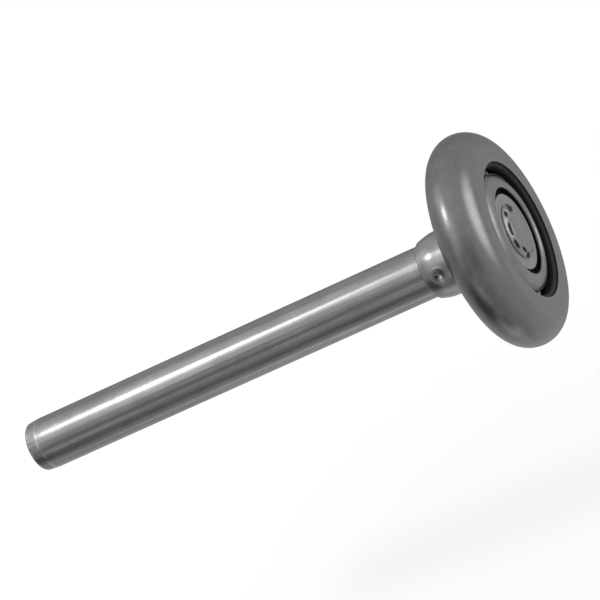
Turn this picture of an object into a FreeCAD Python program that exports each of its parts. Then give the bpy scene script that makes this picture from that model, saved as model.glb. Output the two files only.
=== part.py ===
import FreeCAD, Part
import math
import os

# Garage door roller: a steel wheel on a ball race, carried by a long plain stem.
# The wheel turns about Y. Its hub face looks to -Y and the stem runs to +Y.
# The origin is the wheel's centre. Lengths are in millimetres and angles in degrees.

# Wheel
wheel_diameter = 46.0
wheel_width = 11.0
lip_edge_round = 0.25

# Ball race. The balls fill their circle but for a small gap from each to the next. The wheel's
# lips stand one gap outside that circle, and the inner race's rims stand another inside it.
ball_diameter = 6.35
ball_count = 13
groove_radius = 3.3
ball_clearance = 0.05
ball_gap = 0.11
lip_gap = 1.15
race_gap = 0.75

# Inner race, in two halves that meet at the wheel's mid-plane
race_edge_height = 4.45
race_crown_height = 5.1
race_edge_round = 0.2
recess_depth = 2.38
recess_edge_round = 0.25

# Collar of the rear race, crimped on the stem behind the wheel
collar_wall = 1.3
collar_length = 15.9
collar_end_round = 0.9
collar_taper_length = 3.6
collar_taper_drop = 0.4
collar_root_round = 1.4
crimp_count = 3
crimp_from_end = 3.6
crimp_turn = 24.0
crimp_radius = 2.0
crimp_depth = 0.8

# Washer round the stem, in the front recess
washer_wall = 2.97
washer_gap = 1.0
washer_thickness = 1.7
washer_edge_round = 0.25

# Stem, with a turned seat for the race and a staked head on the washer
stem_diameter = 11.1
stem_length = 112.6
lead_in_length = 2.8
lead_in_drop = 0.2
end_round = 0.7
seat_step = 0.25
bore_clearance = 0.03
head_overhang = 0.45
head_height = 0.93
head_edge_round = 0.85
stake_count = 8
stake_turn = 15.0
stake_inset = 1.0
stake_width = 1.4
stake_depth = 0.7

# The wheel's rim is a full round, and the balls' circle follows from their size and number
half_width = wheel_width / 2
wheel_radius = wheel_diameter / 2
ball_radius = ball_diameter / 2
pitch_radius = (ball_radius + ball_gap / 2) / math.sin(math.pi / ball_count)
lip_radius = pitch_radius + lip_gap
race_radius = pitch_radius - race_gap
stem_radius = stem_diameter / 2
seat_radius = stem_radius - seat_step
bore_radius = seat_radius + bore_clearance
washer_radius = bore_radius + washer_wall
recess_radius = washer_radius + washer_gap
collar_radius = stem_radius + collar_wall
head_radius = stem_radius + head_overhang

# Each groove's arc is a little rounder than the ball, and its bottom stands one clearance off it
groove_offset = groove_radius - ball_radius - ball_clearance
outer_groove_centre = pitch_radius - groove_offset
inner_groove_centre = pitch_radius + groove_offset
outer_groove_turn = math.degrees(math.acos((lip_radius - outer_groove_centre) / groove_radius))
inner_groove_turn = math.degrees(math.acos((inner_groove_centre - race_radius) / groove_radius))

# The washer lies on the recess floor, and the head on the washer
recess_floor = race_crown_height - recess_depth
washer_top = recess_floor + washer_thickness
head_top = washer_top + head_height

axis = FreeCAD.Vector(0, 1, 0)


# A profile is drawn in the XY plane: X is the radius, and Y runs along the wheel's axis
def at(radius, along):
    return FreeCAD.Vector(radius, along, 0)


# An arc about a centre, from one direction to another, given as its middle and its end
def swing(centre, radius, start_angle, end_angle):
    points = []
    for angle in ((start_angle + end_angle) / 2, end_angle):
        turn = math.radians(angle)
        points.append(centre + at(radius * math.cos(turn), radius * math.sin(turn)))
    return tuple(points)


# The edges from a start through each step in turn: a point is a straight edge, a pair is an arc
def path(start, *steps):
    edges = []
    for step in steps:
        if isinstance(step, tuple):
            middle, end = step
            edges.append(Part.Arc(start, middle, end).toShape())
        else:
            end = step
            edges.append(Part.LineSegment(start, end).toShape())
        start = end
    return edges


def turned(edges):
    return Part.Face(Part.Wire(edges)).revolve(FreeCAD.Vector(0, 0, 0), axis, 360)


# The place of one of several like things, spaced evenly round the axis from a first angle
def around(radius, along, index, count, first_angle=0.0):
    turn = math.radians(first_angle + 360 * index / count)
    return FreeCAD.Vector(-radius * math.cos(turn), along, radius * math.sin(turn))


# The outer ring. Its rim is a full round for the curved track, with two lips inside and the
# ball groove between them.
def make_wheel():
    rim_centre = at(wheel_radius - half_width, 0)
    lip_start = lip_radius + lip_edge_round
    lip_end = half_width - lip_edge_round
    groove_edge = groove_radius * math.sin(math.radians(outer_groove_turn))
    return turned(path(
        at(wheel_radius - half_width, -half_width),
        swing(rim_centre, half_width, -90, 90),
        at(lip_start, half_width),
        swing(at(lip_start, lip_end), lip_edge_round, 90, 180),
        at(lip_radius, groove_edge),
        swing(at(outer_groove_centre, 0), groove_radius, outer_groove_turn, -outer_groove_turn),
        at(lip_radius, -lip_end),
        swing(at(lip_start, -lip_end), lip_edge_round, 180, 270),
        at(wheel_radius - half_width, -half_width),
    ))


def make_ball(index):
    return Part.makeSphere(ball_radius, around(pitch_radius, 0, index, ball_count))


# The steps that both race halves share: over the sloping face, round the rim and down the groove
def race_rim(side):
    rim_centre = at(race_radius - race_edge_round, side * (race_edge_height - race_edge_round))
    groove_edge = groove_radius * math.sin(math.radians(inner_groove_turn))
    return [
        at(race_radius - race_edge_round, side * race_edge_height),
        swing(rim_centre, race_edge_round, side * 90, 0),
        at(race_radius, side * groove_edge),
        swing(at(inner_groove_centre, 0), groove_radius, 180 - side * inner_groove_turn, 180),
        at(bore_radius, 0),
    ]


# The front half of the inner race, with the recess that the washer lies in
def make_front_race():
    recess_end = race_crown_height - recess_edge_round
    recess_edge = at(recess_radius + recess_edge_round, -recess_end)
    return turned(path(
        at(bore_radius, 0),
        at(bore_radius, -recess_floor),
        at(recess_radius, -recess_floor),
        at(recess_radius, -recess_end),
        swing(recess_edge, recess_edge_round, 180, 270),
        *race_rim(-1),
    ))


# A sphere that stands over one crimp: the dent is a small one, and its wall makes a larger one
def crimp_sphere(radius, index):
    reach = collar_radius + crimp_radius - crimp_depth
    centre = around(reach, collar_length - crimp_from_end, index, crimp_count, crimp_turn)
    return Part.makeSphere(radius, centre)


# The rear half of the inner race, with the collar. Each crimp dents the collar and pushes its
# wall through the bore into the stem.
def make_rear_race():
    nose_radius = collar_radius - collar_taper_drop
    nose_along = collar_length - collar_end_round
    nose_centre = at(nose_radius - collar_end_round, nose_along)
    root_end = race_crown_height + collar_root_round
    race = turned(path(
        at(bore_radius, 0),
        at(bore_radius, collar_length),
        at(nose_radius - collar_end_round, collar_length),
        swing(nose_centre, collar_end_round, 90, 0),
        at(collar_radius, collar_length - collar_taper_length),
        at(collar_radius, root_end),
        swing(at(collar_radius + collar_root_round, root_end), collar_root_round, 180, 270),
        *race_rim(1),
    ))
    wall = collar_radius - bore_radius
    wall_middle = Part.makeCylinder(bore_radius + wall / 2, collar_length, FreeCAD.Vector(0, 0, 0), axis)
    for index in range(crimp_count):
        race = race.fuse(crimp_sphere(crimp_radius + wall, index).common(wall_middle))
    for index in range(crimp_count):
        race = race.cut(crimp_sphere(crimp_radius, index))
    return race


def make_washer():
    edge_start = washer_top - washer_edge_round
    return turned(path(
        at(bore_radius, -recess_floor),
        at(washer_radius, -recess_floor),
        at(washer_radius, -edge_start),
        swing(at(washer_radius - washer_edge_round, -edge_start), washer_edge_round, 0, -90),
        at(bore_radius, -washer_top),
        at(bore_radius, -recess_floor),
    ))


# The plain rod, with a lead-in at its free end, a turned seat that ends in a shoulder behind the
# collar, and a head upset over the washer. Punch dents stake the head, and pockets in
# the seat take the collar's crimps.
def make_stem():
    head_edge = at(head_radius - head_edge_round, -(head_top - head_edge_round))
    tip_radius = stem_radius - lead_in_drop
    tip_edge = at(tip_radius - end_round, stem_length - end_round)
    stem = turned(path(
        at(0, -head_top),
        at(head_radius - head_edge_round, -head_top),
        swing(head_edge, head_edge_round, -90, 0),
        at(head_radius, -washer_top),
        at(seat_radius, -washer_top),
        at(seat_radius, collar_length),
        at(stem_radius, collar_length),
        at(stem_radius, stem_length - lead_in_length),
        at(tip_radius, stem_length - end_round),
        swing(tip_edge, end_round, 0, 90),
        at(0, stem_length),
        at(0, -head_top),
    ))
    for index in range(stake_count):
        edge = head_radius - stake_inset
        above = around(edge, -head_top - stake_depth, index, stake_count, stake_turn)
        stem = stem.cut(Part.makeCone(stake_width, 0, 2 * stake_depth, above, axis))
    pocket_radius = crimp_radius + collar_radius - bore_radius + bore_clearance
    for index in range(crimp_count):
        stem = stem.cut(crimp_sphere(pocket_radius, index))
    return stem


def save(shape, name):
    shape.exportStep("parts/" + name + ".step")
    print(name, len(shape.Solids), "solid", round(shape.Volume, 1), "mm3", shape.isValid())


os.makedirs("parts", exist_ok=True)
save(make_stem(), "stem")
save(make_washer(), "hub_washer")
save(make_front_race(), "front_race")
save(make_rear_race(), "rear_race")
save(make_wheel(), "wheel")
for index in range(ball_count):
    save(make_ball(index), f"ball_{index + 1:02d}")
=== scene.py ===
import math

import bpy
import numpy as np
from mathutils import Matrix, Vector


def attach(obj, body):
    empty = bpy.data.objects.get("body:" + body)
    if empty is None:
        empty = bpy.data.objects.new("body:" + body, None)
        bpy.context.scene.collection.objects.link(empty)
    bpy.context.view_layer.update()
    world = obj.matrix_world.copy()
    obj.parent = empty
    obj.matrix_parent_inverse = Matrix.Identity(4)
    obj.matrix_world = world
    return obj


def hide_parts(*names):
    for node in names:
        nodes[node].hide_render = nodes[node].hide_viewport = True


# Garage door roller: a plated steel wheel on thirteen balls, at the end of a long plain stem.
# The wheel turns about Y, its hub face looks to -Y and the stem runs to +Y.
# Sizes in the dictionaries are millimetres and degrees; the scene itself is in metres.
mm = 0.001

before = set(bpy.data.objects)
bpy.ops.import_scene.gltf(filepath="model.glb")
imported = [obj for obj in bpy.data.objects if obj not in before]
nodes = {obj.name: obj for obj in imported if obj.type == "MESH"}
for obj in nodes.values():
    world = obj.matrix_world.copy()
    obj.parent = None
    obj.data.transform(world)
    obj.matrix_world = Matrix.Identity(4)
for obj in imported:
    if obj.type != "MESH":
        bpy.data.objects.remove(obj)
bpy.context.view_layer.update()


# Camera
cameraView = {
    "aimAlong": 52.0,        # the point of the axis that the distance is measured from
    "distance": 780.0,
    "faceTurn": 22.7,        # how far the hub face is turned towards the camera
    "lean": 40.0,            # how far the camera stands up round the axis, from -X
    "climb": 24.31,          # how steeply the axis climbs in the picture
    "lens": 227.9, "sensor": 36.0,
    "aside": 0.0054,         # the picture's centre beside and above that point, as slopes
    "above": 0.0101,
}


def makeCamera(view):
    turn, lean = math.radians(view["faceTurn"]), math.radians(view["lean"])
    climb = math.radians(view["climb"])
    back = Vector((-math.cos(turn) * math.cos(lean), -math.sin(turn),
                   math.cos(turn) * math.sin(lean)))
    face = Vector((0, -1, 0))
    alongAxis = (face - face.dot(back) * back).normalized()
    overAxis = back.cross(alongAxis)
    right = alongAxis * math.cos(climb) - overAxis * math.sin(climb)
    up = alongAxis * math.sin(climb) + overAxis * math.cos(climb)
    place = Vector((0, view["aimAlong"] * mm, 0)) + back * view["distance"] * mm
    back = (back - right * view["aside"] - up * view["above"]).normalized()
    right = (right - right.dot(back) * back).normalized()
    up = back.cross(right)
    data = bpy.data.cameras.new("camera")
    data.lens = view["lens"]
    data.sensor_width = view["sensor"]
    data.clip_start = 0.05
    data.clip_end = 50.0
    camera = bpy.data.objects.new("camera", data)
    facing = Matrix((right, up, back)).transposed().to_4x4()
    camera.matrix_world = Matrix.Translation(place) @ facing
    bpy.context.scene.collection.objects.link(camera)
    bpy.context.scene.camera = camera


makeCamera(cameraView)
print("camera placed")


# Small helpers for node trees
def addNode(tree, kind, **settings):
    node = tree.nodes.new(kind)
    for name, value in settings.items():
        setattr(node, name, value)
    return node


def plug(tree, value, socket):
    # A socket is linked, and a plain number or vector is set
    if isinstance(value, bpy.types.NodeSocket):
        tree.links.new(value, socket)
    elif value is not None:
        socket.default_value = value


def sums(tree, operation, first, second=None):
    node = addNode(tree, "ShaderNodeMath", operation=operation)
    plug(tree, first, node.inputs[0])
    plug(tree, second, node.inputs[1])
    return node.outputs[0]


def times(tree, first, second):
    return sums(tree, "MULTIPLY", first, second)


def weighed(tree, first, firstShare, second, secondShare):
    return sums(tree, "ADD", times(tree, first, firstShare), times(tree, second, secondShare))


def vectorSums(tree, operation, first, second=None, scale=None):
    node = addNode(tree, "ShaderNodeVectorMath", operation=operation)
    plug(tree, first, node.inputs[0])
    plug(tree, second, node.inputs[1])
    if scale is not None:    # only the scaling operation has that input
        plug(tree, scale, node.inputs["Scale"])
    return node


def smoothStep(tree, value, low, high, outLow=0.0, outHigh=1.0):
    node = addNode(tree, "ShaderNodeMapRange", interpolation_type="SMOOTHSTEP")
    for name, given in (("Value", value), ("From Min", low), ("From Max", high),
                        ("To Min", outLow), ("To Max", outHigh)):
        plug(tree, given, node.inputs[name])
    return node.outputs["Result"]


def noise(tree, vector, scale, detail=3.0, roughness=0.5, distortion=0.0):
    node = addNode(tree, "ShaderNodeTexNoise", noise_dimensions="3D")
    for name, given in (("Vector", vector), ("Scale", scale), ("Detail", detail),
                        ("Roughness", roughness), ("Distortion", distortion)):
        plug(tree, given, node.inputs[name])
    return node.outputs["Fac"]


def mixColour(tree, share, first, second, most=1.0):
    # The second colour covers the first by a share, and where that is full by the most given
    node = addNode(tree, "ShaderNodeMix", data_type="RGBA", clamp_factor=True)
    plug(tree, times(tree, share, most), node.inputs["Factor"])
    plug(tree, first, node.inputs[6])
    plug(tree, second, node.inputs[7])
    return node.outputs[2]


def newGroup(name, inputs, outputs):
    group = bpy.data.node_groups.new(name, "ShaderNodeTree")
    kinds = {"v": "NodeSocketVector", "f": "NodeSocketFloat"}
    for label, kind, default in inputs:
        socket = group.interface.new_socket(name=label, in_out="INPUT", socket_type=kinds[kind])
        if default is not None:
            socket.default_value = default
    for label, kind in outputs:
        group.interface.new_socket(name=label, in_out="OUTPUT", socket_type=kinds[kind])
    return group, addNode(group, "NodeGroupInput"), addNode(group, "NodeGroupOutput")


def useGroup(tree, group, **given):
    # Keyword names stand for the group's inputs, with _ for a space
    node = addNode(tree, "ShaderNodeGroup", node_tree=group)
    for name, value in given.items():
        plug(tree, value, node.inputs[name.replace("_", " ")])
    return node


# Effects shared by the steels, each in its own node group
def makeRoundPlace():
    # Object coordinates in metres become millimetres: the place, the radius from the axis, the
    # length along it, and Ring, which holds radius and length as one point
    group, given, out = newGroup("round_place", [("Object", "v", None)],
                                 [("Place", "v"), ("Radius", "f"), ("Along", "f"), ("Ring", "v")])
    place = vectorSums(group, "SCALE", given.outputs["Object"], scale=1.0 / mm).outputs[0]
    split = addNode(group, "ShaderNodeSeparateXYZ")
    plug(group, place, split.inputs[0])
    squares = sums(group, "ADD", sums(group, "POWER", split.outputs["X"], 2.0),
                   sums(group, "POWER", split.outputs["Z"], 2.0))
    radius = sums(group, "SQRT", squares)
    ring = addNode(group, "ShaderNodeCombineXYZ")
    plug(group, radius, ring.inputs["X"])
    plug(group, split.outputs["Y"], ring.inputs["Y"])
    plug(group, place, out.inputs["Place"])
    plug(group, radius, out.inputs["Radius"])
    plug(group, split.outputs["Y"], out.inputs["Along"])
    plug(group, ring.outputs[0], out.inputs["Ring"])
    return group


def makeTurnedLines():
    # Lathe marks: noise over radius and length alone, so that every mark is a full ring, broken
    # up by a slow noise over the place
    group, given, out = newGroup(
        "turned_lines",
        [("Place", "v", None), ("Ring", "v", None), ("Spacing", "f", 0.2), ("Breaks", "f", 0.5)],
        [("Height", "f"), ("Sheen", "f")])
    ring = given.outputs["Ring"]
    perLine = sums(group, "DIVIDE", 1.0, given.outputs["Spacing"])
    fine = noise(group, ring, perLine, detail=2.0, roughness=0.6)
    broad = noise(group, ring, times(group, perLine, 0.13), detail=2.0)
    patches = noise(group, given.outputs["Place"], 0.35, roughness=0.55)
    kept = smoothStep(group, patches, given.outputs["Breaks"], 0.75, 0.35, 1.0)
    plug(group, times(group, fine, kept), out.inputs["Height"])
    plug(group, weighed(group, fine, 0.4, broad, 0.6), out.inputs["Sheen"])
    return group


def makeDrawnLines():
    # Draw marks: noise stretched many times along the rod, in a fine and a coarse set
    group, given, out = newGroup(
        "drawn_lines", [("Place", "v", None), ("Spacing", "f", 0.25), ("Stretch", "f", 60.0)],
        [("Height", "f"), ("Streaks", "f")])
    perLine = sums(group, "DIVIDE", 1.0, given.outputs["Spacing"])
    squeeze = addNode(group, "ShaderNodeCombineXYZ")
    plug(group, 1.0, squeeze.inputs["X"])
    plug(group, sums(group, "DIVIDE", 1.0, given.outputs["Stretch"]), squeeze.inputs["Y"])
    plug(group, 1.0, squeeze.inputs["Z"])
    drawn = vectorSums(group, "MULTIPLY", given.outputs["Place"], squeeze.outputs[0]).outputs[0]
    coarse = noise(group, drawn, times(group, perLine, 0.28), detail=2.0)
    plug(group, noise(group, drawn, perLine, detail=2.0, roughness=0.6), out.inputs["Height"])
    plug(group, smoothStep(group, coarse, 0.35, 0.68), out.inputs["Streaks"])
    return group


def makePlating():
    # The plating's clouds and specks: a broad cloudy noise, a finer one, and small dark specks
    # where a third noise lets the middles of scattered cells show
    group, given, out = newGroup(
        "plating", [("Place", "v", None), ("Cloud Size", "f", 6.0), ("Speck Size", "f", 0.5)],
        [("Clouds", "f"), ("Grain", "f"), ("Specks", "f")])
    place = given.outputs["Place"]
    perCloud = sums(group, "DIVIDE", 1.0, given.outputs["Cloud Size"])
    perSpeck = sums(group, "DIVIDE", 1.0, given.outputs["Speck Size"])
    clouds = noise(group, place, perCloud, detail=4.0, roughness=0.55, distortion=0.4)
    cells = addNode(group, "ShaderNodeTexVoronoi", feature="F1", voronoi_dimensions="3D")
    plug(group, place, cells.inputs["Vector"])
    plug(group, times(group, perSpeck, 0.4), cells.inputs["Scale"])
    near = smoothStep(group, cells.outputs["Distance"], 0.05, 0.2, 1.0, 0.0)
    chosen = smoothStep(group, noise(group, place, perCloud, detail=2.0), 0.52, 0.62)
    plug(group, smoothStep(group, clouds, 0.3, 0.7), out.inputs["Clouds"])
    plug(group, noise(group, place, perSpeck, roughness=0.65), out.inputs["Grain"])
    plug(group, times(group, near, chosen), out.inputs["Specks"])
    return group


def makeEdgeRub():
    # Bright rubbed metal along one turned edge: it fades with the distance from the edge's
    # circle, and a noise breaks it up
    group, given, out = newGroup(
        "edge_rub",
        [("Place", "v", None), ("Ring", "v", None), ("Edge", "v", None), ("Width", "f", 0.5)],
        [("Rub", "f")])
    reach = vectorSums(group, "DISTANCE", given.outputs["Ring"], given.outputs["Edge"])
    share = sums(group, "DIVIDE", reach.outputs["Value"], given.outputs["Width"])
    near = smoothStep(group, share, 0.25, 1.0, 1.0, 0.0)
    patches = noise(group, given.outputs["Place"], 0.9, detail=4.0, roughness=0.65)
    plug(group, times(group, near, smoothStep(group, patches, 0.36, 0.62)), out.inputs["Rub"])
    return group


def makeScratches():
    # Long thin scratches: the narrow band where a stretched, bent noise crosses its middle
    group, given, out = newGroup(
        "scratches",
        [("Place", "v", None), ("Stretch", "v", (1.0, 0.05, 1.0)), ("Amount", "f", 0.5)],
        [("Scratch", "f")])
    place = given.outputs["Place"]
    laid = vectorSums(group, "MULTIPLY", place, given.outputs["Stretch"]).outputs[0]
    lines = noise(group, laid, 1.3, detail=1.0, distortion=1.2)
    crossing = sums(group, "ABSOLUTE", sums(group, "SUBTRACT", lines, 0.5))
    thin = smoothStep(group, crossing, 0.001, 0.006, 1.0, 0.0)
    some = smoothStep(group, noise(group, place, 0.22, detail=2.0), 0.5, 0.62)
    scratch = times(group, times(group, thin, some), given.outputs["Amount"])
    plug(group, scratch, out.inputs["Scratch"])
    return group


roundPlace = makeRoundPlace()
turnedLines = makeTurnedLines()
drawnLines = makeDrawnLines()
plating = makePlating()
edgeRub = makeEdgeRub()
scratches = makeScratches()
print("effects ready")


# What the steels have in common
def startMaterial(name):
    material = bpy.data.materials.new(name)
    material.use_nodes = True
    tree = material.node_tree
    tree.nodes.clear()
    out = addNode(tree, "ShaderNodeOutputMaterial")
    shader = addNode(tree, "ShaderNodeBsdfPrincipled")
    tree.links.new(shader.outputs[0], out.inputs["Surface"])
    shader.inputs["Metallic"].default_value = 1.0
    coordinates = addNode(tree, "ShaderNodeTexCoord")
    where = useGroup(tree, roundPlace, Object=coordinates.outputs["Object"])
    return material, tree, shader, where


def bump(tree, height, strength, distance, normal=None):
    node = addNode(tree, "ShaderNodeBump")
    node.inputs["Strength"].default_value = strength
    node.inputs["Distance"].default_value = distance * mm
    plug(tree, height, node.inputs["Height"])
    plug(tree, normal, node.inputs["Normal"])
    return node.outputs["Normal"]


def grey(level, blue=1.0):
    return (level, level, level * blue, 1.0)


def dentShadeMask(tree):
    # How much painted shade a place of a new piece gets in its dents, as its mesh says
    return addNode(tree, "ShaderNodeAttribute", attribute_name="dentShade").outputs["Fac"]


def addPlating(tree, where, finish):
    return useGroup(tree, plating, Place=where.outputs["Place"], Cloud_Size=finish["cloudSize"],
                    Speck_Size=finish["grainSize"])


def addTurnedLines(tree, where, finish):
    return useGroup(tree, turnedLines, Place=where.outputs["Place"], Ring=where.outputs["Ring"],
                    Spacing=finish["lineSpacing"])


def addScratches(tree, where, finish):
    return useGroup(tree, scratches, Place=where.outputs["Place"],
                    Stretch=finish["scratchStretch"],
                    Amount=finish["scratchAmount"]).outputs["Scratch"]


def rubbedEdges(tree, where, edges):
    # The strongest rub of several edges, each (radius, length along the axis, width, strength)
    rub = 0.0
    for radius, along, width, strength in edges:
        edge = useGroup(tree, edgeRub, Place=where.outputs["Place"], Ring=where.outputs["Ring"],
                        Edge=(radius, along, 0.0), Width=width).outputs["Rub"]
        rub = sums(tree, "MAXIMUM", rub, times(tree, edge, strength))
    return rub


def platedColour(tree, plate, finish):
    # The plating's clouds run from its dark tone to its light one, both a trace bluish
    return mixColour(tree, plate.outputs["Clouds"], grey(finish["dark"], finish["blue"] + 0.01),
                     grey(finish["colour"], finish["blue"]))


def spreadRoughness(tree, value, finish):
    # The roughness swings to both sides of its middle with a noise
    half = finish["roughnessSpread"] / 2
    return smoothStep(tree, value, 0.3, 0.7, finish["roughness"] - half,
                      finish["roughness"] + half)


def turnedHeight(tree, lines, plate):
    return weighed(tree, lines.outputs["Height"], 0.6, plate.outputs["Grain"], 0.4)


def dullUnderOilAndShade(tree, shader, oilAndShade):
    # Where dark oil and painted shade lie thick, it is dull and no metal shows
    plug(tree, smoothStep(tree, oilAndShade, 0.3, 0.8, 1.0, 0.0), shader.inputs["Metallic"])
    shader.inputs["Specular IOR Level"].default_value = 0.05


wheelFinish = {
    "colour": 0.215, "dark": 0.195, "bright": 0.32, "blue": 1.01,
    "speck": 0.07, "speckMost": 0.5, "sheenMost": 0.3,
    "roughness": 0.27, "roughnessSpread": 0.06, "rubbedSmoother": 0.08, "oiledRougher": 0.3,
    "lineSpacing": 0.16, "lineDepth": 0.0012, "waveDepth": 0.05,
    "cloudSize": 2.6, "grainSize": 0.45,
    "rubs": [(15.0, -5.5, 0.7, 0.25), (15.0, 5.5, 0.7, 0.25)],
    "tread": (21.6, 22.9), "treadRub": 0.12,         # the tread shines from radius to radius
    "scratchStretch": (0.6, 0.18, 0.6), "scratchAmount": 0.4,
    # Dark oil and painted shade inside the lips, from radius to radius: all over the groove, less
    # on the bevels, and much between bevel and lip. The bevels' four lengths along the axis go
    # from in to out.
    "oilAndShade": 0.014, "oilShadeEdge": (14.85, 14.68),
    "bevelSpan": (4.62, 4.74, 4.93, 5.06), "bevelOilShade": 0.86, "lipOilShade": 0.96,
}


def makeWheelSteel(finish):
    material, tree, shader, where = startMaterial("wheel_steel_satin")
    radius = where.outputs["Radius"]
    lines = addTurnedLines(tree, where, finish)
    plate = addPlating(tree, where, finish)
    tread = times(tree, smoothStep(tree, radius, *finish["tread"]),
                  smoothStep(tree, plate.outputs["Clouds"], 0.35, 0.8))
    rub = sums(tree, "MAXIMUM", rubbedEdges(tree, where, finish["rubs"]),
               times(tree, tread, finish["treadRub"]))
    scratch = addScratches(tree, where, finish)
    depth = sums(tree, "ABSOLUTE", where.outputs["Along"])
    grooveTo, bevelFrom, bevelTo, lipFrom = finish["bevelSpan"]
    oilShadeThickness = sums(tree, "MAXIMUM",
                     smoothStep(tree, depth, bevelFrom, grooveTo, finish["bevelOilShade"], 1.0),
                     smoothStep(tree, depth, bevelTo, lipFrom, 0.0, finish["lipOilShade"]))
    oilAndShade = times(tree, smoothStep(tree, radius, *finish["oilShadeEdge"]), oilShadeThickness)
    colour = platedColour(tree, plate, finish)
    colour = mixColour(tree, lines.outputs["Sheen"], colour, grey(finish["dark"]),
                       finish["sheenMost"])
    colour = mixColour(tree, plate.outputs["Specks"], colour, grey(finish["speck"]),
                       finish["speckMost"])
    colour = mixColour(tree, rub, colour, grey(finish["bright"]))
    colour = mixColour(tree, scratch, colour, grey(finish["bright"]))
    # painted shade: the gap inside the lips is darkened nearly to black, together with its oil
    colour = mixColour(tree, oilAndShade, colour, grey(finish["oilAndShade"]))
    plug(tree, colour, shader.inputs["Base Color"])
    dullUnderOilAndShade(tree, shader, oilAndShade)
    roughness = spreadRoughness(tree, plate.outputs["Grain"], finish)
    roughness = sums(tree, "SUBTRACT", roughness, times(tree, rub, finish["rubbedSmoother"]))
    roughness = sums(tree, "ADD", roughness, times(tree, oilAndShade, finish["oiledRougher"]))
    plug(tree, roughness, shader.inputs["Roughness"])
    height = sums(tree, "SUBTRACT", turnedHeight(tree, lines, plate), scratch)
    fine = bump(tree, height, 1.0, finish["lineDepth"])
    waves = noise(tree, where.outputs["Place"], 0.22, detail=2.0, roughness=0.4)
    plug(tree, bump(tree, waves, 0.5, finish["waveDepth"], fine), shader.inputs["Normal"])
    return material


raceFinish = {
    "colour": 0.27, "dark": 0.215, "bright": 0.42, "blue": 1.01,
    "speck": 0.09, "speckMost": 0.4, "sheenMost": 0.35,
    "roughness": 0.30, "roughnessSpread": 0.10,
    "lineSpacing": 0.12, "lineDepth": 0.002,
    "cloudSize": 3.0, "grainSize": 0.35, "rubWidth": 0.45, "rubMost": 0.25,
    "oilAndShade": 0.016, "oilShadeMost": 0.95, "gapShade": 0.05, "gapShadeMost": 0.5, "gapShadeWidth": 1.0,
    "recessShade": 0.03, "recessShadeMost": 0.85, "markShade": 0.05, "markShadeMost": 0.7,
}
collarFinish = dict(raceFinish, colour=0.36, dark=0.29, roughness=0.25)
washerFinish = dict(raceFinish, colour=0.34, dark=0.29, roughness=0.34)


def makeRaceSteel(name, finish, edges, oilShadeFrom=None, recess=None):
    # edges are (radius, length along the axis). Out from a given radius, dark oil and painted
    # shade lie on what faces the balls, with a band of painted shade beside it. recess is (radius,
    # length) of its wall's top.
    material, tree, shader, where = startMaterial(name)
    radius = where.outputs["Radius"]
    lines = addTurnedLines(tree, where, finish)
    plate = addPlating(tree, where, finish)
    rub = rubbedEdges(tree, where, [(edge, along, finish["rubWidth"], finish["rubMost"])
                                    for edge, along in edges])
    colour = platedColour(tree, plate, finish)
    colour = mixColour(tree, lines.outputs["Sheen"], colour, grey(finish["dark"]),
                       finish["sheenMost"])
    colour = mixColour(tree, plate.outputs["Specks"], colour, grey(finish["speck"]),
                       finish["speckMost"])
    colour = mixColour(tree, rub, colour, grey(finish["bright"]))
    if oilShadeFrom is not None:
        # painted shade: a band of the ring beside the gap, darker towards the gap
        gapShadeEnd = oilShadeFrom - 0.1
        gapShade = smoothStep(tree, radius, gapShadeEnd - finish["gapShadeWidth"], gapShadeEnd)
        colour = mixColour(tree, gapShade, colour, grey(finish["gapShade"]), finish["gapShadeMost"])
        # dark oil and painted shade over what faces the balls
        oilAndShade = smoothStep(tree, radius, oilShadeFrom - 0.12, oilShadeFrom)
        colour = mixColour(tree, oilAndShade, colour, grey(finish["oilAndShade"]), finish["oilShadeMost"])
        dullUnderOilAndShade(tree, shader, oilAndShade)
    if recess is not None:
        # Painted shade darkens the recess round the washer
        wall, top = recess
        recessShaded = times(tree, smoothStep(tree, radius, wall + 0.12, wall),
                       smoothStep(tree, where.outputs["Along"], top, top + 0.25))
        colour = mixColour(tree, recessShaded, colour, grey(finish["recessShade"]), finish["recessShadeMost"])
    # painted shade in the crimps' dents
    colour = mixColour(tree, dentShadeMask(tree), colour, grey(finish["markShade"]), finish["markShadeMost"])
    plug(tree, colour, shader.inputs["Base Color"])
    plug(tree, spreadRoughness(tree, plate.outputs["Grain"], finish), shader.inputs["Roughness"])
    height = turnedHeight(tree, lines, plate)
    plug(tree, bump(tree, height, 1.0, finish["lineDepth"]), shader.inputs["Normal"])
    return material


stemFinish = {
    "colour": 0.36, "dark": 0.29, "bright": 0.52, "blue": 1.02,
    "streak": 0.21, "streakMost": 0.85, "speck": 0.10, "speckMost": 0.35,
    "roughness": 0.27, "roughnessSpread": 0.08,
    "lineSpacing": 0.2, "lineStretch": 90.0, "lineDepth": 0.0021,
    "cloudSize": 7.0, "grainSize": 0.4,
    "scratchStretch": (1.0, 0.06, 1.0), "scratchAmount": 0.7,
    # the free end's edge, the lead-in's edge and the head's edge
    "rubs": [(5.1, 112.3, 0.8, 1.0), (5.55, 109.8, 0.5, 0.6), (5.6, -4.9, 0.6, 0.1)],
    "headSpan": (-4.2, -4.5), "headDark": 0.16, "headDarkMost": 0.35, "headRoughness": 0.36,
    "peenDepth": 0.12, "markShade": 0.018, "markShadeMost": 0.96,
}


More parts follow.
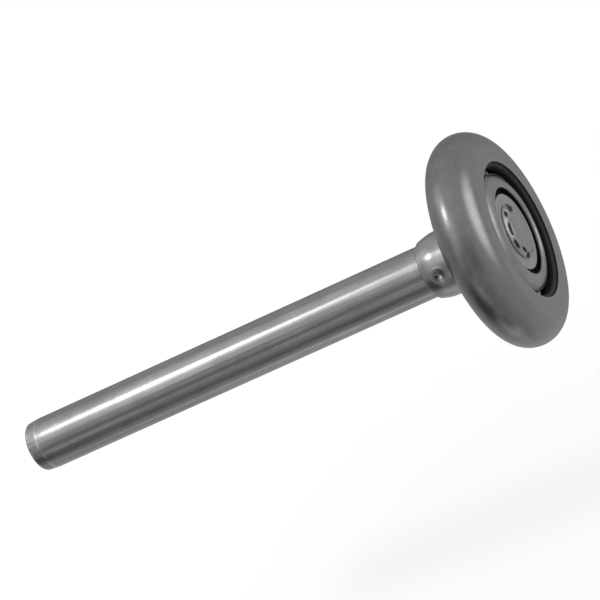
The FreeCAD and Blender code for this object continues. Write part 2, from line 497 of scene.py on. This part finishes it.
def makeStemSteel(finish):
    material, tree, shader, where = startMaterial("stem_steel_drawn")
    lines = useGroup(tree, drawnLines, Place=where.outputs["Place"],
                     Spacing=finish["lineSpacing"], Stretch=finish["lineStretch"])
    plate = addPlating(tree, where, finish)
    scratch = addScratches(tree, where, finish)
    # The upset head is peened, not drawn
    head = smoothStep(tree, where.outputs["Along"], *finish["headSpan"])
    rod = sums(tree, "SUBTRACT", 1.0, head)
    colour = platedColour(tree, plate, finish)
    colour = mixColour(tree, times(tree, lines.outputs["Streaks"], rod), colour,
                       grey(finish["streak"], finish["blue"]), finish["streakMost"])
    colour = mixColour(tree, plate.outputs["Specks"], colour, grey(finish["speck"]),
                       finish["speckMost"])
    colour = mixColour(tree, head, colour, grey(finish["headDark"]), finish["headDarkMost"])
    colour = mixColour(tree, scratch, colour, grey(finish["bright"]))
    colour = mixColour(tree, rubbedEdges(tree, where, finish["rubs"]), colour,
                       grey(finish["bright"]))
    # painted shade in the punch marks, from the mesh's dent mask
    markShade = smoothStep(tree, dentShadeMask(tree), 0.12, 0.5)
    colour = mixColour(tree, markShade, colour, grey(finish["markShade"]), finish["markShadeMost"])
    plug(tree, colour, shader.inputs["Base Color"])
    headRougher = times(tree, head, finish["headRoughness"] - finish["roughness"])
    plug(tree, sums(tree, "ADD", spreadRoughness(tree, lines.outputs["Height"], finish),
                    headRougher), shader.inputs["Roughness"])
    height = weighed(tree, lines.outputs["Height"], rod, plate.outputs["Grain"], 0.3)
    fine = bump(tree, sums(tree, "SUBTRACT", height, scratch), 1.0, finish["lineDepth"])
    peened = times(tree, head, noise(tree, where.outputs["Place"], 1.1, roughness=0.6))
    plug(tree, bump(tree, peened, 0.7, finish["peenDepth"], fine), shader.inputs["Normal"])
    return material


ballFinish = {
    "colour": 0.20, "oilAndShade": 0.05, "roughness": 0.16, "oilRoughness": 0.30,
    "cloudSize": 2.5, "grainSize": 0.3, "grainDepth": 0.002,
}


def makeBallSteel(finish):
    material, tree, shader, where = startMaterial("ball_steel_oiled")
    plate = addPlating(tree, where, finish)
    # an oil film and painted shade keep the balls dark deep in the gap
    oilFilmShade = smoothStep(tree, plate.outputs["Clouds"], 0.3, 0.8)
    colour = mixColour(tree, oilFilmShade, grey(finish["colour"]), grey(finish["oilAndShade"], 0.96))
    plug(tree, colour, shader.inputs["Base Color"])
    plug(tree, smoothStep(tree, oilFilmShade, 0.0, 1.0, finish["roughness"], finish["oilRoughness"]),
         shader.inputs["Roughness"])
    plug(tree, bump(tree, plate.outputs["Grain"], 0.3, finish["grainDepth"]),
         shader.inputs["Normal"])
    return material


wheelSteel = makeWheelSteel(wheelFinish)
frontSteel = makeRaceSteel("race_steel_turned", raceFinish, [(12.65, -4.15), (9.4, -5.05)],
                           oilShadeFrom=12.75, recess=(9.3, -4.6))
rearSteel = makeRaceSteel("race_steel_collar", collarFinish, [(12.65, 4.15), (5.8, 15.8)],
                          oilShadeFrom=12.75)
washerSteel = makeRaceSteel("race_steel_washer", washerFinish, [(8.2, -4.35)])
stemSteel = makeStemSteel(stemFinish)
ballSteel = makeBallSteel(ballFinish)
print("steels ready")


# Helpers for turned shapes. A profile's points are (radius, length along the axis).
def straight(start, end, steps):
    # A straight stretch, without its last point, where the next stretch starts
    share = np.linspace(0.0, 1.0, steps + 1)[:-1, None]
    return np.array(start) * (1.0 - share) + np.array(end) * share


def rounded(centre, radius, fromAngle, toAngle, steps):
    # A round stretch: the centre plus the radius, turned from one angle to the other
    angle = np.radians(np.linspace(fromAngle, toAngle, steps + 1))[:-1]
    return np.stack([centre[0] + radius * np.cos(angle), centre[1] + radius * np.sin(angle)], 1)


def crowned(start, end, steps):
    # A face that starts level and falls off ever faster: the drop is the share squared
    share = np.linspace(0.0, 1.0, steps + 1)[:-1]
    return np.stack([start[0] + (end[0] - start[0]) * share,
                     start[1] + (end[1] - start[1]) * share ** 2.0], 1)


def grooveEnd(ringRadius, centre, groove):
    # Where a ball groove runs out on its ring: its turn from the groove's bottom, whose cosine
    # is the ring's distance from the groove's centre over its radius, and the length along
    turn = math.acos(abs(centre - ringRadius) / groove)
    return math.degrees(turn), groove * math.sin(turn)


def apart(turn, angle):
    # The angle from one place of the ring to another, the short way round
    return np.mod(turn - np.radians(angle) + np.pi, 2 * np.pi) - np.pi


def turnedSurface(name, profile, columns, shaping, closed):
    # A turned surface: each row of the profile is carried round the axis, and the shaping gives
    # how far each place of that grid moves outwards, how far along the axis, and its painted shade
    # in a dent.
    # A profile that starts and ends on the axis is closed with a pole at each end. Any other one
    # is closed by joining its last row to its first.
    sharpFrom = 32.0         # degrees between two faces
    turn = np.radians(np.arange(columns) * 360.0 / columns)
    rows = profile[1:-1] if not closed else profile
    radius = np.repeat(rows[:, 0:1], columns, 1)
    along = np.repeat(rows[:, 1:2], columns, 1)
    outwards, onwards, dentShade = shaping(np.repeat(turn[None, :], len(rows), 0), radius, along)
    radius, along = radius + outwards, along + onwards
    place = np.stack([-radius * np.cos(turn), along, radius * np.sin(turn)], 2).reshape(-1, 3)
    dentShade = dentShade.reshape(-1)
    grid = np.arange(len(rows) * columns).reshape(len(rows), columns)
    nextRow = np.roll(grid, -1, 0) if closed else grid[1:]
    thisRow = grid if closed else grid[:-1]
    quads = np.stack([thisRow, np.roll(thisRow, -1, 1), np.roll(nextRow, -1, 1), nextRow], 2)
    faces = quads.reshape(-1, 4).tolist()
    if not closed:
        poles = np.array([[0.0, profile[0, 1], 0.0], [0.0, profile[-1, 1], 0.0]])
        place = np.vstack([place, poles])
        dentShade = np.append(dentShade, [0.0, 0.0])
        first, last = len(place) - 2, len(place) - 1
        ring = np.roll(grid, -1, 1)
        faces += np.stack([np.full(columns, first), ring[0], grid[0]], 1).tolist()
        faces += np.stack([np.full(columns, last), grid[-1], ring[-1]], 1).tolist()
    mesh = bpy.data.meshes.new(name)
    mesh.from_pydata((place * mm).tolist(), [], faces)
    dentShades = mesh.attributes.new("dentShade", "FLOAT", "POINT")
    dentShades.data.foreach_set("value", dentShade.astype(np.float32))
    mesh.validate()
    mesh.shade_smooth()
    mesh.set_sharp_from_angle(angle=math.radians(sharpFrom))
    piece = bpy.data.objects.new(name, mesh)
    bpy.context.scene.collection.objects.link(piece)
    return piece


stemShape = {
    "radius": 5.55, "length": 112.6, "leadIn": 2.8, "leadInDrop": 0.2, "endRound": 0.7,
    "seatRadius": 5.3, "seatEnd": 15.9,
    "headRadius": 6.0, "headFoot": 4.42, "headTop": 5.35, "headRound": 2.0, "headEnd": 55.0,
    "hollow": 0.10, "hollowRadius": 4.4,     # how much the head's middle stands below its rim
    "uneven": 0.03,
    # hand-struck punch marks, as (turn, radius, length round the circle, width, depth)
    "marks": [(-19.0, 4.6, 1.0, 0.46, 0.5), (-40.0, 5.6, 0.8, 0.8, 0.95),
              (14.0, 5.4, 1.2, 0.42, 0.28), (50.0, 4.9, 1.3, 0.5, 0.45),
              (90.0, 5.3, 0.8, 0.45, 0.32), (127.0, 4.7, 1.3, 0.66, 0.5),
              (129.0, 5.75, 0.8, 0.7, 0.9), (172.0, 5.2, 1.0, 0.36, 0.22),
              (214.0, 5.3, 1.1, 0.36, 0.20), (258.0, 5.2, 1.0, 0.36, 0.22),
              (290.0, 5.3, 0.8, 0.36, 0.24)],
    "darkFrom": 0.4,         # the depth from which a mark gets its full painted shade
    "columns": 300,
}


def makeStem(shape):
    # Profile: head face, head edge, seat, shoulder, rod, lead-in, end round, end face. The face
    # sinks by each mark's depth times a bell over the distance from it, measured round the circle
    # in shares of its length and across it in shares of its width. A product of sines makes the
    # face uneven, as the hammer left it.
    rod, length, endRound = shape["radius"], shape["length"], shape["endRound"]
    seat, seatEnd = shape["seatRadius"], shape["seatEnd"]
    tip, leadInFrom = rod - shape["leadInDrop"], length - shape["leadIn"]
    rim, soft, end = shape["headRadius"], shape["headRound"], shape["headEnd"]
    top, foot = -shape["headTop"], -shape["headFoot"]
    flat = rim - soft * math.sin(math.radians(end))
    wall = top + soft * (1.0 - math.cos(math.radians(end)))
    profile = np.vstack([
        straight((0.0, top), (flat, top), 44),
        rounded((flat, top + soft), soft, -90, end - 90, 26),
        straight((rim, wall), (rim, foot), 2),
        straight((rim, foot), (seat, foot), 2),
        straight((seat, foot), (seat, seatEnd), 3),
        straight((seat, seatEnd), (rod, seatEnd), 1),
        straight((rod, seatEnd), (rod, leadInFrom), 40),
        straight((rod, leadInFrom), (tip, length - endRound), 4),
        rounded((tip - endRound, length - endRound), endRound, 0, 90, 7),
        straight((tip - endRound, length), (0.0, length), 8),
        [[0.0, length]],
    ])

    def shaping(turn, radius, along):
        dentShade = np.zeros_like(radius)
        sink = np.zeros_like(radius)
        for angle, circle, markLength, width, depth in shape["marks"]:
            roundTo = apart(turn, angle) * circle / markLength
            across = (radius - circle) / width
            bell = np.exp(-np.abs(roundTo) ** 3 - np.abs(across) ** 2.5)
            # painted shade: each mark darkens by its bell, fully from a set depth on
            dentShade = np.maximum(dentShade, bell * min(1.0, depth / shape["darkFrom"]))
            sink = np.maximum(sink, bell * depth)
        onFace = np.clip((foot - along) / (foot - top), 0.0, 1.0)
        sines = (np.sin(0.9 * radius * np.cos(turn - 0.6) + 0.4)
                 * np.sin(0.8 * radius * np.sin(turn) + 1.1))
        uneven = shape["uneven"] * (1.0 + sines)
        hollow = shape["hollow"] * np.clip(1.0 - (radius / shape["hollowRadius"]) ** 2, 0.0, 1.0)
        onEdge = np.clip((radius - rim + 0.9) / 0.6, 0.0, 1.0) * (along < foot + 0.3)
        return -0.5 * sink * onEdge, (sink + uneven + hollow) * onFace, dentShade * (along < foot)

    piece = turnedSurface("stem_detailed", profile, shape["columns"], shaping, False)
    piece.data.materials.append(stemSteel)
    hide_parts("stem")
    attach(piece, "spindle")


# What the two halves of the inner race have in common. Their faces fall off to a round edge.
raceShape = {
    "bore": 5.33, "crownHeight": 5.1, "edgeHeight": 4.05,
    "rim": 12.747, "edgeRound": 0.2, "edgeTurn": 58.0,
    "grooveRadius": 3.3, "grooveCentre": 13.572,
    "columns": 300,
}


def raceRim(shape, faceFrom, faceSteps, edgeSteps, rimSteps):
    # Profile from the face to the bore: crowned face, edge round, rim, half of the ball groove,
    # and the flat where the halves meet
    rim, edge, height = shape["rim"], shape["edgeRound"], shape["edgeHeight"]
    centre, groove = shape["grooveCentre"], shape["grooveRadius"]
    turn, endAlong = grooveEnd(rim, centre, groove)
    return [
        crowned((faceFrom, shape["crownHeight"]), (rim - edge, height), faceSteps),
        rounded((rim - edge, height - edge), edge, shape["edgeTurn"], 0, edgeSteps),
        straight((rim, height - edge), (rim, endAlong), rimSteps),
        rounded((centre, 0.0), groove, 180 - turn, 180, 12),
        straight((centre - groove, 0.0), (shape["bore"], 0.0), 2),
    ]


rearShape = {
    **raceShape,
    "collar": 6.85, "end": 15.9, "endRound": 0.55,
    "taperFrom": 11.9, "taperOver": 4.0, "taperDrop": 0.8,   # how far the nose falls over a length
    "root": 1.4, "faceFrom": 9.45,
    "crimps": 3, "crimpTurn": 24.0, "crimpAlong": 12.3, "crimpWidth": 0.95, "crimpDepth": 0.9,
    "crimpLip": 0.12, "lipAt": 1.75, "lipWidth": 0.38,       # the last two in crimp widths
}


def makeRearRace(shape):
    # Profile, from the bore's inner end: bore, end face, end round, a nose that falls off as a
    # parabola, collar, root fillet, and the shared face, edge and groove. Each crimp presses the
    # collar in by a bell over the distance from its middle and lifts a low lip round it.
    bore, collar, end = shape["bore"], shape["collar"], shape["end"]
    root, crown, soft = shape["root"], shape["crownHeight"], shape["endRound"]
    noseFrom, noseEnd = shape["taperFrom"], end - soft
    onNose = np.linspace(1.0, 0.0, 23)[:-1] * (noseEnd - noseFrom)
    nose = np.stack([collar - shape["taperDrop"] * (onNose / shape["taperOver"]) ** 2,
                     noseFrom + onNose], 1)
    noseEdge = nose[0, 0]
    profile = np.vstack([
        straight((bore, 0.0), (bore, end), 4),
        straight((bore, end), (noseEdge - soft, end), 1),
        rounded((noseEdge - soft, noseEnd), soft, 90, 0, 8),
        nose,
        straight((collar, noseFrom), (collar, crown + root), 44),
        rounded((collar + root, crown + root), root, 180, 270, 10),
        straight((collar + root, crown), (shape["faceFrom"], crown), 2),
        *raceRim(shape, shape["faceFrom"], 20, 5, 2),
    ])[::-1]

    def shaping(turn, radius, along):
        outer = (radius > bore + 0.2) & (along > crown + 0.3)
        press, lip = np.zeros_like(radius), np.zeros_like(radius)
        for index in range(shape["crimps"]):
            angle = shape["crimpTurn"] + 360.0 * index / shape["crimps"]
            far = np.hypot(apart(turn, angle) * collar, along - shape["crimpAlong"])
            far = far / shape["crimpWidth"]
            press = np.maximum(press, np.exp(-far ** 2))
            lip = np.maximum(lip, np.exp(-((far - shape["lipAt"]) / shape["lipWidth"]) ** 2))
        outwards = (shape["crimpLip"] * lip - shape["crimpDepth"] * press) * outer
        # painted shade on the crimp's wall, a ring round its middle
        dentShade = np.clip(1.0 - np.abs(press - 0.35) / 0.4, 0.0, 1.0) * 0.8 * outer
        return outwards, np.zeros_like(radius), dentShade

    piece = turnedSurface("rear_race_crimped", profile, shape["columns"], shaping, True)
    piece.data.materials.append(rearSteel)
    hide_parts("rear_race")
    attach(piece, "spindle")


wheelShape = {
    "radius": 23.0, "rimRound": 5.5, "lip": 14.647, "lipRound": 0.22,
    # a bevelled step inside each lip: its outer end, its drop, and the bore that it ends on
    "bevel": (14.28, 4.98), "bevelDrop": 0.55, "bore": 13.85,
    "lipDraft": 0.03, "bevelFoot": 0.1, "bevelSoft": (0.06, 0.12),
    "grooveRadius": 3.3, "grooveCentre": 13.42,
    "uneven": 0.012,         # how far the pressed skin waves
    "columns": 360,
}


def makeWheel(shape):
    # Profile, from the front face's outer end: full round rim, rear face, lip edge, low wall,
    # bevel, bore, ball groove, and the same again to the front. The skin waves by a product of
    # sines over turn and length.
    half, soft, lip, bore = shape["rimRound"], shape["lipRound"], shape["lip"], shape["bore"]
    bevelFrom, bevelHeight = shape["bevel"]
    wallEnd = (lip - shape["lipDraft"], bevelHeight + shape["bevelFoot"])
    softOut, softIn = shape["bevelSoft"]
    bevelEnd = bevelHeight - shape["bevelDrop"]
    rimCentre = shape["radius"] - half
    turn, endAlong = grooveEnd(bore, shape["grooveCentre"], shape["grooveRadius"])
    rearLip = np.vstack([
        straight((rimCentre, half), (lip + soft, half), 16),
        rounded((lip + soft, half - soft), soft, 90, 180, 8),
        straight((lip, half - soft), wallEnd, 4),
        straight(wallEnd, (bevelFrom, bevelHeight), 3),
        straight((bevelFrom, bevelHeight), (bore + softOut, bevelEnd), 8),
        straight((bore + softOut, bevelEnd), (bore, bevelEnd - softIn), 2),
        straight((bore, bevelEnd - softIn), (bore, endAlong), 8),
    ])
    frontLip = np.vstack([rearLip, [[bore, endAlong]]])[::-1] * np.array([1.0, -1.0])
    profile = np.vstack([
        rounded((rimCentre, 0.0), half, -90, 90, 90),
        rearLip,
        rounded((shape["grooveCentre"], 0.0), shape["grooveRadius"], turn, -turn, 24),
        frontLip[:-1],
    ])

    def shaping(turn, radius, along):
        onRim = np.clip((radius - rimCentre) / 1.5, 0.0, 1.0)    # the faces are left flat
        wave = np.sin(3 * turn + 0.5 * along) * np.sin(0.9 * along + 2.0 * np.sin(2 * turn))
        wave = wave + 0.6 * np.sin(7 * turn - 0.4 * along) * np.cos(1.3 * along)
        outwards = -shape["uneven"] * (1.0 + 0.5 * wave) * onRim
        return outwards, np.zeros_like(radius), np.zeros_like(radius)

    piece = turnedSurface("wheel_turned", profile, shape["columns"], shaping, True)
    piece.data.materials.append(wheelSteel)
    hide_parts("wheel")
    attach(piece, "wheel")


frontShape = {
    **raceShape,
    "floor": 2.72, "recess": 9.3, "recessRound": 0.55,
    "uneven": 0.02, "unevenFrom": 0.6, "unevenWidth": 0.8,   # the last two beyond the recess
}


def makeFrontRace(shape):
    # Profile, from the bore's inner end: bore, recess floor, recess wall and edge, and the shared
    # face, edge and groove, mirrored to the front. Slow sines make the face uneven.
    bore, floor, recess = shape["bore"], shape["floor"], shape["recess"]
    crown, soft = shape["crownHeight"], shape["recessRound"]
    profile = np.vstack([
        straight((bore, 0.0), (bore, floor), 2),
        straight((bore, floor), (recess, floor), 6),
        straight((recess, floor), (recess, crown - soft), 8),
        rounded((recess + soft, crown - soft), soft, 180, 90, 8),
        *raceRim(shape, recess + soft, 28, 6, 3),
    ]) * np.array([1.0, -1.0])

    def shaping(turn, radius, along):
        beyond = radius - recess - shape["unevenFrom"]
        onFace = np.clip(beyond / shape["unevenWidth"], 0.0, 1.0) * (along < -4.0)
        wave = np.sin(2 * turn + 0.7 * radius) * np.sin(1.6 * radius + 1.5 * np.sin(3 * turn))
        onwards = shape["uneven"] * (1.0 + wave) * onFace
        return np.zeros_like(radius), onwards, np.zeros_like(radius)

    piece = turnedSurface("front_race_turned", profile, shape["columns"], shaping, True)
    piece.data.materials.append(frontSteel)
    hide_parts("front_race")
    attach(piece, "spindle")


washerShape = {
    "bore": 5.33, "radius": 8.3, "floor": 2.72, "top": 4.42, "edgeRound": 0.42,
    "dip": 0.05, "dipFrom": 7.2, "dipWidth": 1.4, "uneven": 0.012,
    "columns": 240,
}


def makeWasher(shape):
    # Profile: underside, outer side, edge round, top, bore. The top dips a little towards the
    # stem, where the head has been driven on it, by the share of the dip's width squared. Sines
    # make it uneven.
    bore, radius, soft = shape["bore"], shape["radius"], shape["edgeRound"]
    under, top = -shape["floor"], -shape["top"]
    profile = np.vstack([
        straight((bore, under), (radius, under), 4),
        straight((radius, under), (radius, top + soft), 6),
        rounded((radius - soft, top + soft), soft, 0, -90, 8),
        straight((radius - soft, top), (bore, top), 24),
        straight((bore, top), (bore, under), 3),
    ])[::-1]

    def shaping(turn, radius, along):
        onTop = (along < top + 0.01).astype(float)
        share = np.clip((shape["dipFrom"] - radius) / shape["dipWidth"], 0.0, 1.0)
        wave = np.sin(3 * turn + radius) * np.sin(2.2 * radius)
        onwards = (shape["dip"] * share ** 2 + shape["uneven"] * (1.0 + wave)) * onTop
        return np.zeros_like(radius), onwards, np.zeros_like(radius)

    piece = turnedSurface("hub_washer_turned", profile, shape["columns"], shaping, True)
    piece.data.materials.append(washerSteel)
    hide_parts("hub_washer")
    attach(piece, "spindle")


makeStem(stemShape)
makeRearRace(rearShape)
makeWheel(wheelShape)
makeFrontRace(frontShape)
makeWasher(washerShape)
print("stem, races, washer and wheel shaped")

# The balls are the nodes that no other steel is for
nodeSteels = {"wheel": wheelSteel, "front_race": frontSteel, "rear_race": rearSteel,
              "hub_washer": washerSteel, "stem": stemSteel}
for name in nodes:
    for slot in nodes[name].material_slots:
        slot.material = nodeSteels.get(name, ballSteel)
print("materials on", len(nodes), "nodes")


# Floor, lamp and world
studio = {
    "floorHeight": -75.0, "floorSize": 12000.0, "floorColour": 0.86, "floorLift": 0.22,
    "level": 0.69,                       # the world's plain level
    "zenith": 0.20,                      # how much lighter it is overhead
    # soft darker and lighter parts of the room, as (turn from -X towards +Y, height above the
    # horizon, inner and outer width, strength), in plain steps near what a fit to the
    # photograph's tones had shown
    "parts": {
        "darkSide": (30.0, -15.0, 30.0, 90.0, -0.25),      # the room behind the camera
        "darkCorner": (45.0, -20.0, 0.0, 30.0, -0.35),
        "darkCeiling": (30.0, 30.0, 0.0, 25.0, -0.10),
        "darkFloor": (15.0, -45.0, 0.0, 15.0, -0.40),
        "darkLeft": (-25.0, 40.0, 0.0, 30.0, -0.30),
        "darkBack": (160.0, -25.0, 0.0, 50.0, -0.35),
        "window": (22.5, 0.0, 0.0, 15.0, 0.30),            # beside the camera
        "upperWindow": (45.0, 30.0, 0.0, 15.0, 0.30),
        "paleFloor": (30.0, -55.0, 0.0, 25.0, 0.45),
        "sideWindow": (-105.0, 10.0, 0.0, 30.0, 2.00),     # what the wheel's left edge mirrors
        "lampGlow": (50.0, 55.0, 5.0, 25.0, 0.40),
        "rearGlow": (110.0, 45.0, 10.0, 20.0, 0.40),
    },
}

softbox = {
    "turn": 86.0, "height": 60.5,        # its direction, as for the room's parts
    "distance": 800.0, "width": 150.0, "length": 140.0, "power": 0.74,
}


def towards(turn, height):
    turn, height = math.radians(turn), math.radians(height)
    return Vector((-math.cos(turn) * math.cos(height), math.sin(turn) * math.cos(height),
                   math.sin(height)))


def makeWorld(room):
    # The level rises overhead. Each part adds its strength by a smooth step over the cosine of
    # the angle from its middle.
    world = bpy.data.worlds.new("studio")
    bpy.context.scene.world = world
    world.use_nodes = True
    tree = world.node_tree
    tree.nodes.clear()
    out = addNode(tree, "ShaderNodeOutputWorld")
    background = addNode(tree, "ShaderNodeBackground")
    tree.links.new(background.outputs[0], out.inputs["Surface"])
    background.inputs["Color"].default_value = grey(1.0)
    direction = addNode(tree, "ShaderNodeTexCoord").outputs["Generated"]
    split = addNode(tree, "ShaderNodeSeparateXYZ")
    plug(tree, direction, split.inputs[0])
    level = smoothStep(tree, split.outputs["Z"], 0.3, 1.0, room["level"],
                       room["level"] + room["zenith"])
    for turn, height, inner, outer, strength in room["parts"].values():
        nearness = vectorSums(tree, "DOT_PRODUCT", direction, tuple(towards(turn, height)))
        share = smoothStep(tree, nearness.outputs["Value"], math.cos(math.radians(outer)),
                           math.cos(math.radians(inner)), 0.0, strength)
        level = sums(tree, "ADD", level, share)
    # The camera sees a plain white backdrop, and the metal mirrors the room
    seen = addNode(tree, "ShaderNodeLightPath").outputs["Is Camera Ray"]
    backdrop = addNode(tree, "ShaderNodeMix", data_type="FLOAT")
    plug(tree, seen, backdrop.inputs["Factor"])
    plug(tree, level, backdrop.inputs[2])
    plug(tree, 1.0, backdrop.inputs[3])
    plug(tree, backdrop.outputs[0], background.inputs["Strength"])


def makeSoftbox(lamp):
    data = bpy.data.lights.new("softbox_0", "AREA")
    data.shape = "RECTANGLE"
    data.size = lamp["width"] * mm
    data.size_y = lamp["length"] * mm
    data.energy = lamp["power"]
    box = bpy.data.objects.new("softbox_0", data)
    out = towards(lamp["turn"], lamp["height"])
    facing = out.to_track_quat("Z", "Y").to_matrix().to_4x4()
    box.matrix_world = Matrix.Translation(out * lamp["distance"] * mm) @ facing
    box.visible_camera = False
    bpy.context.scene.collection.objects.link(box)


def makeFloor(room):
    half = room["floorSize"] / 2 * mm
    height = room["floorHeight"] * mm
    data = bpy.data.meshes.new("floor")
    corners = [(-half, -half, height), (half, -half, height),
               (half, half, height), (-half, half, height)]
    data.from_pydata(corners, [], [(0, 1, 2, 3)])
    floor = bpy.data.objects.new("floor", data)
    bpy.context.scene.collection.objects.link(floor)
    material = bpy.data.materials.new("floor_white")
    material.use_nodes = True
    tree = material.node_tree
    shader = tree.nodes["Principled BSDF"]
    shader.inputs["Base Color"].default_value = grey(room["floorColour"])
    shader.inputs["Roughness"].default_value = 0.9
    shader.inputs["Specular IOR Level"].default_value = 0.1
    # A little glow lifts the pale floor to white for what sees it
    rays = addNode(tree, "ShaderNodeLightPath")
    seen = sums(tree, "MAXIMUM", rays.outputs["Is Camera Ray"], rays.outputs["Is Glossy Ray"])
    seen = sums(tree, "MAXIMUM", seen, rays.outputs["Is Transmission Ray"])
    shader.inputs["Emission Color"].default_value = grey(1.0)
    plug(tree, times(tree, seen, room["floorLift"]), shader.inputs["Emission Strength"])
    data.materials.append(material)
    # The metal doesn't mirror the floor: its underside would turn flat and white
    floor.visible_glossy = False
    floor.visible_shadow = False


makeWorld(studio)
makeSoftbox(softbox)
makeFloor(studio)
bpy.context.scene.view_settings.view_transform = "Standard"
print("studio ready")
